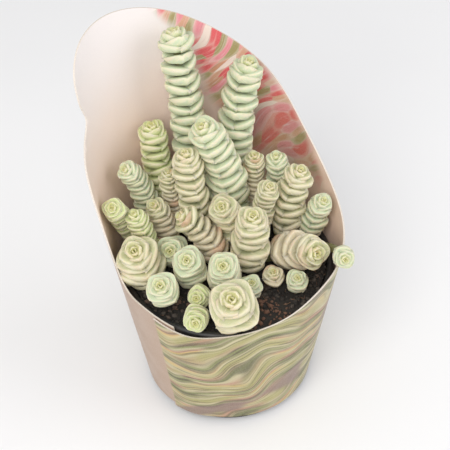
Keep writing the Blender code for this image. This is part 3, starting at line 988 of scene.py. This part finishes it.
def stem_tree():
    """Opposite leaf pairs along a bent centre line, each pair turned a quarter from the last."""
    tree, net, given = open_tree("Stacked leaf stem", {
        "Vector": ("Foot", "Bend", "Head"),
        "Float": ("Leaf reach", "Leaf spacing", "Leaf width", "Plumpness", "First leaf", "Bare share",
                  "First turn", "Leaf rise", "Crown rise", "Stalk radius", "Stalk depth"),
        "Int": ("Crown pairs", "Seed"),
        "Object": ("Leaf",),
        "Material": ("Leaf material",),
    })
    bezier = {"Resolution": 48, "Start": given["Foot"], "Middle": given["Bend"], "End": given["Head"]}
    centre_line = net.out("GeometryNodeCurveQuadraticBezier", bezier)
    length = net.out("GeometryNodeCurveLength", {0: centre_line})
    reach = given["Leaf reach"]
    seed = given["Seed"]
    first_leaf = net.larger(given["First leaf"], net.times(length, given["Bare share"]))
    step = net.times(reach, given["Leaf spacing"])

    # Pairs fill the body at even steps, and the crown's steps shrink to its tip
    crown_last = net.minus(given["Crown pairs"], 1.0)
    crown_step = net.times(step, CROWN_STEP)
    crown_length = net.line(crown_step, shrunk_steps(net, crown_last), net.times(reach, CROWN_TIP))
    body = net.minus(net.minus(length, first_leaf), crown_length)
    body_pairs = net.larger(net.math("ROUND", net.over(body, step)), 1.0)
    leaves = net.times(net.plus(body_pairs, given["Crown pairs"]), 2.0)

    # Each leaf knows its pair, its side of the pair and its share of the way up the crown
    index = net.out("GeometryNodeInputIndex")
    pair = net.math("FLOOR", net.over(net.plus(index, 0.1), 2.0))
    other = net.minus(index, net.times(pair, 2.0))
    crown = net.larger(net.minus(pair, body_pairs), 0.0)
    crown_share = net.over(crown, crown_last)
    up_body = net.times(net.math("MINIMUM", pair, body_pairs), net.over(body, body_pairs))
    distance = net.plus(net.plus(first_leaf, up_body), net.times(crown_step, shrunk_steps(net, crown)))
    spot = {"Curves": centre_line, "Length": distance}
    sample = net.add("GeometryNodeSampleCurve", spot, mode="LENGTH").outputs

    turn = net.plus(net.line(pair, 0.5 * math.pi, given["First turn"]), net.random(-0.15, 0.15, pair, seed))
    turn = net.line(other, math.pi, turn)
    rise_gap = net.minus(given["Crown rise"], given["Leaf rise"])
    rise = net.line(net.math("POWER", crown_share, 0.85), rise_gap, given["Leaf rise"])
    rise = net.plus(rise, net.random(-0.15, 0.13, index, net.plus(seed, 1.0)))
    axes = {"Primary Axis": sample["Tangent"], "Secondary Axis": sample["Normal"]}
    upright = net.out("FunctionNodeAxesToRotation", axes, primary_axis="Z", secondary_axis="X")
    facing = turned(net, upright, 0.0, 0.0, turn)
    rotation = turned(net, facing, 0.0, net.times(rise, -1.0), 0.0)

    grown = net.minus(1.0, net.times(crown_share, CROWN_TAPER))
    young_foot = net.line(net.math("LESS_THAN", pair, 0.5), -0.16, 1.0)
    uneven = net.random(0.91, 1.04, index, net.plus(seed, 2.0))
    low = net.minus(1.0, net.over(distance, length))
    full = net.times(uneven, reach, net.ease(low, 0.30, 0.70, 1.0, 1.14))
    size = net.times(grown, young_foot, full)
    wide = net.times(size, net.times(given["Leaf width"], net.line(crown_share, -0.14, 1.0)))
    scale = net.vector(size, wide, net.times(size, given["Plumpness"]))
    out = net.times(size, 0.17, net.math("SINE", rise))
    shift = net.out("FunctionNodeRotateVector", {0: net.vector(out, 0.0, 0.0), 1: facing})

    points = net.out("GeometryNodePoints", {"Count": leaves})
    inputs = {"Geometry": points, "Position": sample["Position"], "Offset": shift}
    points = net.out("GeometryNodeSetPosition", inputs)
    points = store(net, points, "age", net.minus(1.0, crown_share))
    points = store(net, points, "tint", net.random(0.0, 1.0, index, net.plus(seed, 3.0)))
    points = store(net, points, "low", low)
    crown_and_body = copies(net, points, given["Leaf"], rotation, scale)
    stalk = stalk_pieces(net, given, centre_line, length)
    close_tree(net, joined(net, (crown_and_body, stalk)), given["Leaf material"])
    return tree


def leaf_material(name, colours, crown, pinkness, margin_start):
    """Leaves that turn from the crown's colour to their own lower down, with pale and pinkish margins and
    painted shade near their bases.
    """
    net, place = new_material(name + " leaves")
    along, across, above = net.split(net.attribute("leaf_spot", "Vector"))
    age, tint, low, bare = [net.attribute(item) for item in ("age", "tint", "low", "stalk")]
    patches = net.noise(place, 230.0, 3.0)
    fine = net.noise(place, 1500.0, 4.0)
    streaks = net.stretched((along, 1.2), (across, 3.4), net.times(tint, 17.0), 1.7, 2.0)

    colour = net.fade(low, 0.10, 0.50, getattr(colours, crown), getattr(colours, name))
    colour = net.fade(net.minus(1.0, age), 0.20, 1.0, colour, colours.heart, 0.85)
    aged = net.times(net.ease(low, 0.55, 0.95), net.ease(tint, 0.35, 0.9), 0.6)
    colour = net.blend(aged, colour, colours.old)
    colour = net.fade(streaks, 0.50, 0.72, colour, colours.margin, 0.65)

    sideways = net.math("ABSOLUTE", across)
    edge = net.larger(net.math("POWER", sideways, 1.5), net.math("POWER", along, 2.2))
    edge = net.line(net.minus(streaks, 0.5), 0.35, edge)
    rim_colour = net.fade(patches, 0.42, 0.68, colours.margin, colours.flush, pinkness)
    colour = net.fade(edge, margin_start, 1.02, colour, rim_colour, 0.82)

    dots = net.add("ShaderNodeTexVoronoi", {"Vector": place, "Scale": 1300.0}).outputs["Distance"]
    specks = net.times(net.ease(dots, 0.24, 0.12), net.ease(patches, 0.40, 0.60, 0.1, 0.55), 0.5)
    colour = net.blend(specks, colour, colours.groove_shade_and_specks)
    # Painted shade: the groove colour darkens each leaf near its base and middle, more on its underside,
    # where the pairs shade each other.
    inner = net.times(net.ease(along, 0.62, 0.10), net.ease(sideways, 0.85, 0.45))
    inner = net.times(inner, net.ease(above, 0.6, -0.6, 0.30, 0.75))
    colour = net.blend(inner, colour, colours.groove_shade_and_specks)
    dry = net.times(net.ease(tint, 0.84, 0.90), net.ease(net.plus(along, streaks), 0.95, 1.35))
    colour = net.blend(net.times(dry, max(0.0, 2.0 * pinkness - 1.0)), colour, colours.dry)
    colour = net.blend(bare, colour, net.fade(fine, 0.4, 0.7, colours.stalk, colours.groove_shade_and_specks))
    height = net.line(patches, 1.5, net.times(fine, 0.5))
    return finish(net, colour, net.ease(patches, 0.3, 0.7, 0.42, 0.60), height, 0.16 * MM, 0.7, {
        "Subsurface Weight": 0.22,
        "Subsurface Radius": (1.0, 0.9, 0.45),
        "Subsurface Scale": 1.4 * MM,
        "Specular IOR Level": 0.35,
    })


def card_top(angle, edge):
    """Height of the card's top edge at an angle."""
    for start, end in zip(edge, edge[1:]):
        if start.x <= angle <= end.x and end.x > start.x:
            share = (angle - start.x) / (end.x - start.x)
            return (start.y + (end.y - start.y) * share) * MM
    return SLEEVE_BOTTOM


def press_inside_card(mesh, edge):
    """Leaf tips that meet the card are pressed back to its inner face."""
    for vertex in mesh.vertices:
        x, y, z = vertex.co
        angle = math.degrees(math.atan2(y, x))
        if angle < SEAM_ANGLE:
            angle += 360.0
        limit = SLEEVE_RADIUS_AT_FLOOR + SLEEVE_FLARE * z - CARD_THICKNESS - LEAF_CLEARANCE
        reach = math.hypot(x, y)
        if reach > limit and z < card_top(angle, edge):
            vertex.co.x = x * limit / reach
            vertex.co.y = y * limit / reach


def build_stems(settings, colours):
    edge = smooth_edge()
    tree = stem_tree()
    leaf = leaf_shape()
    materials = {name: leaf_material(name, colours, *look) for name, look in LEAF_LOOKS.items()}
    for number, (node, spec) in enumerate(STEMS.items()):
        foot_mm, bend_mm, head_mm, reach_mm, turn, leaves = spec
        foot = Vector((foot_mm[0] * MM, foot_mm[1] * MM, 0.0))
        foot.z = soil_height(foot.x, foot.y)
        bend = Vector(bend_mm) * MM
        reach = reach_mm * MM * settings.reach_gain
        lean = (bend - foot).normalized()
        stem = add_object(node + "_leaves", bpy.data.meshes.new(node + "_leaves"))
        grow(stem, "stacked leaves", tree, settings, {
            "Foot": foot,
            "Bend": bend,
            "Head": Vector(head_mm) * MM,
            "Leaf reach": reach,
            "First leaf": 2.2 * MM + 0.8 * reach * math.hypot(lean.x, lean.y),
            "Bare share": BARE_SHARES.get(node, 0.0),
            "First turn": math.radians(turn),
            "Leaf": leaf,
            "Seed": settings.seed + 10 * number,
            "Leaf material": materials[leaves],
        })
        press_inside_card(stem.data, edge)
        settle(stem, node)
    remove(leaf)


# Stage

def place_camera(settings):
    """The camera stands where the photograph was taken from, and turns to put the pot in the middle."""
    sight = Matrix.Rotation(-CAMERA_YAW, 3, "Z") @ Matrix.Rotation(-CAMERA_PITCH, 3, "X")
    up = sight @ Vector((-math.sin(CAMERA_ROLL), 0.0, math.cos(CAMERA_ROLL)))
    ahead = (CAMERA_AIM - CAMERA_PLACE).normalized()
    right = ahead.cross(up).normalized()
    columns = Matrix((right, right.cross(ahead), -ahead)).transposed().to_4x4()
    camera = add_object("camera", bpy.data.cameras.new("camera"))
    camera.matrix_world = Matrix.Translation(CAMERA_PLACE) @ columns
    camera.data.sensor_width = 36.0
    camera.data.lens = settings.lens
    camera.data.clip_start = 0.01
    bpy.context.scene.camera = camera


def place_light(name, place, width, power, colour):
    data = bpy.data.lights.new(name, "AREA")
    data.size = width
    data.energy = power
    data.color = colour
    light = add_object(name, data)
    light.location = place
    light.rotation_mode = "QUATERNION"
    light.rotation_quaternion = (CAMERA_AIM - Vector(place)).to_track_quat("-Z", "Y")


def floor_material(settings):
    net, place = new_material("studio floor")
    cloudy = net.noise(place, 3.0, 4.0)
    colour = net.fade(cloudy, 0.3, 0.7, settings.floor, darker(settings.floor, 0.97))
    return finish(net, colour, 0.7, net.noise(place, 900.0, 3.0), 0.02 * MM, 0.3)


def build_stage(settings):
    place_camera(settings)
    builder = bmesh.new()
    bmesh.ops.create_grid(builder, x_segments=8, y_segments=8, size=3.0)
    floor = add_built("floor", builder, closed=False)
    floor.data.materials.append(floor_material(settings))
    world = bpy.data.worlds.new("soft studio")
    world.use_nodes = True
    background = world.node_tree.nodes["Background"].inputs
    background["Color"].default_value = (1.0, 1.0, 1.0, 1.0)
    background["Strength"].default_value = settings.sky
    bpy.context.scene.world = world
    bpy.context.scene.view_settings.view_transform = "Standard"
    place_light("key_light", (-0.50, -0.38, 0.66), 0.55, settings.key, (1.0, 0.985, 0.96))
    place_light("fill_light", (0.60, -0.60, 0.42), 0.80, settings.fill, (0.96, 0.97, 1.0))


# Operators

class PLANT_OT_stage(bpy.types.Operator):
    """Set up the floor, the soft light and the camera"""

    bl_idname = "potted_plant.stage"
    bl_label = "Stage"

    def execute(self, context):
        build_stage(context.scene.potted_plant.stage)
        return {"FINISHED"}


class PLANT_OT_pot(bpy.types.Operator):
    """Turn the nursery pot and cut its drain holes"""

    bl_idname = "potted_plant.pot"
    bl_label = "Pot"

    def execute(self, context):
        build_pot(context.scene.potted_plant.pot)
        return {"FINISHED"}


class PLANT_OT_soil(bpy.types.Operator):
    """Fill the pot with rough soil and scatter crumbs and fibres on it"""

    bl_idname = "potted_plant.soil"
    bl_label = "Soil"

    def execute(self, context):
        build_soil(context.scene.potted_plant.soil)
        return {"FINISHED"}


class PLANT_OT_sleeve(bpy.types.Operator):
    """Cut the printed card and roll it round the pot"""

    bl_idname = "potted_plant.sleeve"
    bl_label = "Card sleeve"

    def execute(self, context):
        build_sleeve(context.scene.potted_plant.sleeve)
        return {"FINISHED"}


class PLANT_OT_stems(bpy.types.Operator):
    """Grow the stacked leaf pairs on every stem"""

    bl_idname = "potted_plant.stems"
    bl_label = "Stems and leaves"

    def execute(self, context):
        plant = context.scene.potted_plant
        build_stems(plant.stems, plant.leaves)
        return {"FINISHED"}


class PLANT_PT_panel(bpy.types.Panel):
    """Lists the steps that make the potted plant"""

    bl_idname = "PLANT_PT_panel"
    bl_label = "Potted plant"
    bl_space_type = "VIEW_3D"
    bl_region_type = "UI"
    bl_category = "Potted plant"

    def draw(self, context):
        for operator in OPERATORS:
            self.layout.operator(operator.bl_idname)


OPERATORS = (PLANT_OT_stage, PLANT_OT_pot, PLANT_OT_soil, PLANT_OT_sleeve, PLANT_OT_stems)
SETTINGS = (PotSettings, SoilSettings, SleeveSettings, StemSettings, LeafColours, StageSettings,
            PlantSettings)


def register():
    for item in SETTINGS + OPERATORS + (PLANT_PT_panel,):
        bpy.utils.register_class(item)
    bpy.types.Scene.potted_plant = PointerProperty(type=PlantSettings)


def unregister():
    del bpy.types.Scene.potted_plant
    for item in reversed(SETTINGS + OPERATORS + (PLANT_PT_panel,)):
        bpy.utils.unregister_class(item)


def main():
    register()
    bpy.ops.potted_plant.stage()
    bpy.ops.potted_plant.pot()
    bpy.ops.potted_plant.soil()
    bpy.ops.potted_plant.sleeve()
    bpy.ops.potted_plant.stems()


if __name__ == "__main__":
    main()
